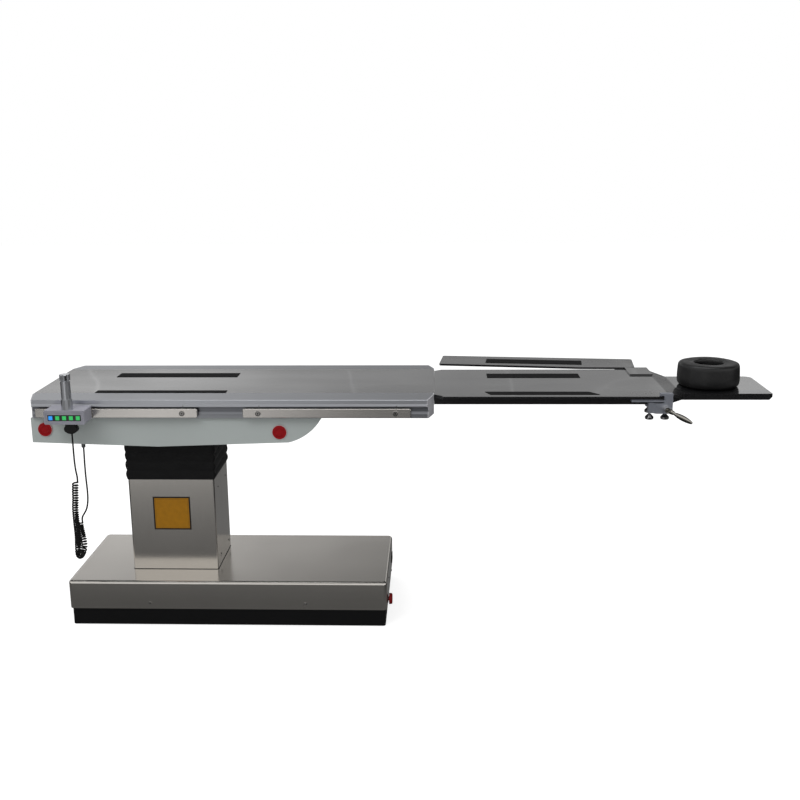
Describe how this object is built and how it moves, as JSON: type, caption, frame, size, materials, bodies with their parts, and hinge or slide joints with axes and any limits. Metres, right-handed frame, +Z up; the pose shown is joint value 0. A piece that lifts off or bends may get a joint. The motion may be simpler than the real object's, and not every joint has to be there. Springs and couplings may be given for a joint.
{
  "type": "operating table",
  "caption": "Column operating table with a long carbon top, side rails, head ring cushion, arm board, tilting housing, bellows lift and a corded hand control box.",
  "frame": {"origin": "centre of the base's footprint, on the floor", "axes": "+X along the table towards the head end, +Z up, -Y towards the side with the control box"},
  "size_m": [2.451, 0.8004, 0.916],
  "materials": {
    "cover_steel": "brushed stainless steel sheet, fine grain",
    "skirt_dark": "matt dark grey",
    "base_iron": "painted casting",
    "plate_amber": "amber, satin",
    "machine_steel": "ground steel",
    "rod_chrome": "hard chromed",
    "inner_aluminium": "drawn",
    "bellows_cloth": "coated black cloth",
    "frame_paint": "powder coat",
    "motor_paint": "satin black",
    "housing_paint": "satin grey-green lacquer",
    "cap_red": "glossy red",
    "carbon": "clear-coated carbon composite",
    "profile_aluminium": "satin anodised",
    "end_cap_grey": "satin",
    "rail_steel": "brushed stainless steel",
    "bolt_steel": "polished",
    "strip_rubber": "matt black",
    "ring_leather": "smooth black imitation leather",
    "clamp_steel": "brushed stainless steel",
    "knob_steel": "turned and polished",
    "box_grey": "satin grey",
    "window_black": "glossy black",
    "lamp_blue": "lit blue",
    "lamp_green": "lit green",
    "grip_aluminium": "satin",
    "grip_chrome": "polished",
    "stop_red": "glossy red",
    "collar_grey": "moulded grey",
    "inlet_black": "moulded black",
    "unit_paint": "plain lacquer",
    "cord_black": "satin black jacket",
    "gland_metal": "nickel plated"
  },
  "bodies": {
    "base": {"base_casting": "base_iron", "base_skirt": "skirt_dark", "base_cover": "cover_steel", "cover_screws": "bolt_steel", "column_tube": "machine_steel", "column_cover_front": "cover_steel", "column_cover_rear": "cover_steel", "label_plate": "plate_amber", "lift_cylinder": "machine_steel", "pump_unit": "unit_paint", "power_supply": "unit_paint", "stop_collar": "collar_grey", "power_inlet": "inlet_black", "bellows": "bellows_cloth"},
    "lift": {"inner_column": "inner_aluminium", "lift_rod": "rod_chrome", "column_head": "frame_paint", "side_tilt_motor": "motor_paint"},
    "cross": {"tilt_cross": "machine_steel"},
    "cradle": {"cradle_frame": "frame_paint", "housing_shell": "housing_paint", "housing_caps": "cap_red", "slide_rails": "machine_steel", "end_tilt_motor": "motor_paint", "drive_barrel": "machine_steel", "cord_gland": "gland_metal"},
    "top": {"main_panel": "carbon", "side_profiles": "profile_aluminium", "profile_end_caps": "end_cap_grey", "accessory_rails": "rail_steel", "rail_bolts": "bolt_steel", "slide_blocks": "machine_steel", "drive_rod": "rod_chrome", "extension_spigots": "machine_steel", "extension_panel": "carbon", "grip_strips": "strip_rubber", "arm_bracket": "carbon", "clamp_body": "clamp_steel", "head_ring": "ring_leather", "box_hook": "rail_steel", "box_casing": "box_grey", "box_face": "window_black", "grip_post": "grip_aluminium", "cord_plug": "cord_black", "cord_lead_box": "cord_black", "cord_coil": "cord_black", "cord_lead_socket": "cord_black"},
    "arm": {"arm_board": "carbon", "arm_board_strip": "strip_rubber"},
    "lever": {"clamp_lever": "knob_steel"},
    "foot_knob": {"knob_foot": "knob_steel"},
    "head_knob": {"knob_head": "knob_steel"},
    "rear_knob": {"knob_rear": "knob_steel"},
    "key_1": {"button_1": "lamp_blue"},
    "key_2": {"button_2": "lamp_green"},
    "key_3": {"button_3": "lamp_green"},
    "key_4": {"button_4": "lamp_green"},
    "key_5": {"button_5": "lamp_green"},
    "grip_button": {"grip_cap": "grip_chrome"},
    "stop_head": {"stop_button": "stop_red"}
  },
  "joints": [
    {"name": "column_lift", "type": "slide", "parent": "base", "child": "lift", "axis": [0, 0, 1], "range_m": [0, 0.3], "deforming": ["bellows"]},
    {"name": "side_tilt", "type": "hinge", "parent": "lift", "child": "cross", "pos_m": [-0.1995, 0, 0.7], "axis": [1, 0, 0], "range_deg": [-12, 12]},
    {"name": "end_tilt", "type": "hinge", "parent": "cross", "child": "cradle", "pos_m": [-0.1995, 0, 0.7], "axis": [0, 1, 0], "range_deg": [-15, 15]},
    {"name": "top_slide", "type": "slide", "parent": "cradle", "child": "top", "axis": [1, 0, 0], "range_m": [-0.3, 0]},
    {"name": "arm_swivel", "type": "hinge", "parent": "top", "child": "arm", "pos_m": [1.4, 0.3, 0.815], "axis": [0, 0, 1], "range_deg": [-85, 3]},
    {"name": "lever_turn", "type": "hinge", "parent": "top", "child": "lever", "pos_m": [1.4644, -0.217, 0.7721], "axis": [0, 1, 0], "range_deg": [-120, 60]},
    {"name": "foot_knob_turn", "type": "hinge", "parent": "top", "child": "foot_knob", "pos_m": [1.4136, -0.1988, 0.756], "axis": [0, 0, 1], "continuous": true},
    {"name": "head_knob_turn", "type": "hinge", "parent": "top", "child": "head_knob", "pos_m": [1.4638, -0.1988, 0.756], "axis": [0, 0, 1], "continuous": true},
    {"name": "rear_knob_turn", "type": "hinge", "parent": "top", "child": "rear_knob", "pos_m": [1.429, -0.109, 0.756], "axis": [0, 0, 1], "continuous": true},
    {"name": "key_1_press", "type": "slide", "parent": "top", "child": "key_1", "axis": [0, 1, 0], "range_m": [0, 0.002], "stiffness_N_per_m": 400, "springref_m": -0.001},
    {"name": "key_2_press", "type": "slide", "parent": "top", "child": "key_2", "axis": [0, 1, 0], "range_m": [0, 0.002], "stiffness_N_per_m": 400, "springref_m": -0.001},
    {"name": "key_3_press", "type": "slide", "parent": "top", "child": "key_3", "axis": [0, 1, 0], "range_m": [0, 0.002], "stiffness_N_per_m": 400, "springref_m": -0.001},
    {"name": "key_4_press", "type": "slide", "parent": "top", "child": "key_4", "axis": [0, 1, 0], "range_m": [0, 0.002], "stiffness_N_per_m": 400, "springref_m": -0.001},
    {"name": "key_5_press", "type": "slide", "parent": "top", "child": "key_5", "axis": [0, 1, 0], "range_m": [0, 0.002], "stiffness_N_per_m": 400, "springref_m": -0.001},
    {"name": "grip_press", "type": "slide", "parent": "top", "child": "grip_button", "axis": [0, 0, -1], "range_m": [0, 0.003], "stiffness_N_per_m": 800, "springref_m": -0.002},
    {"name": "stop_press", "type": "slide", "parent": "base", "child": "stop_head", "axis": [-1, 0, 0], "range_m": [0, 0.005], "stiffness_N_per_m": 1500, "springref_m": -0.002}
  ]
}
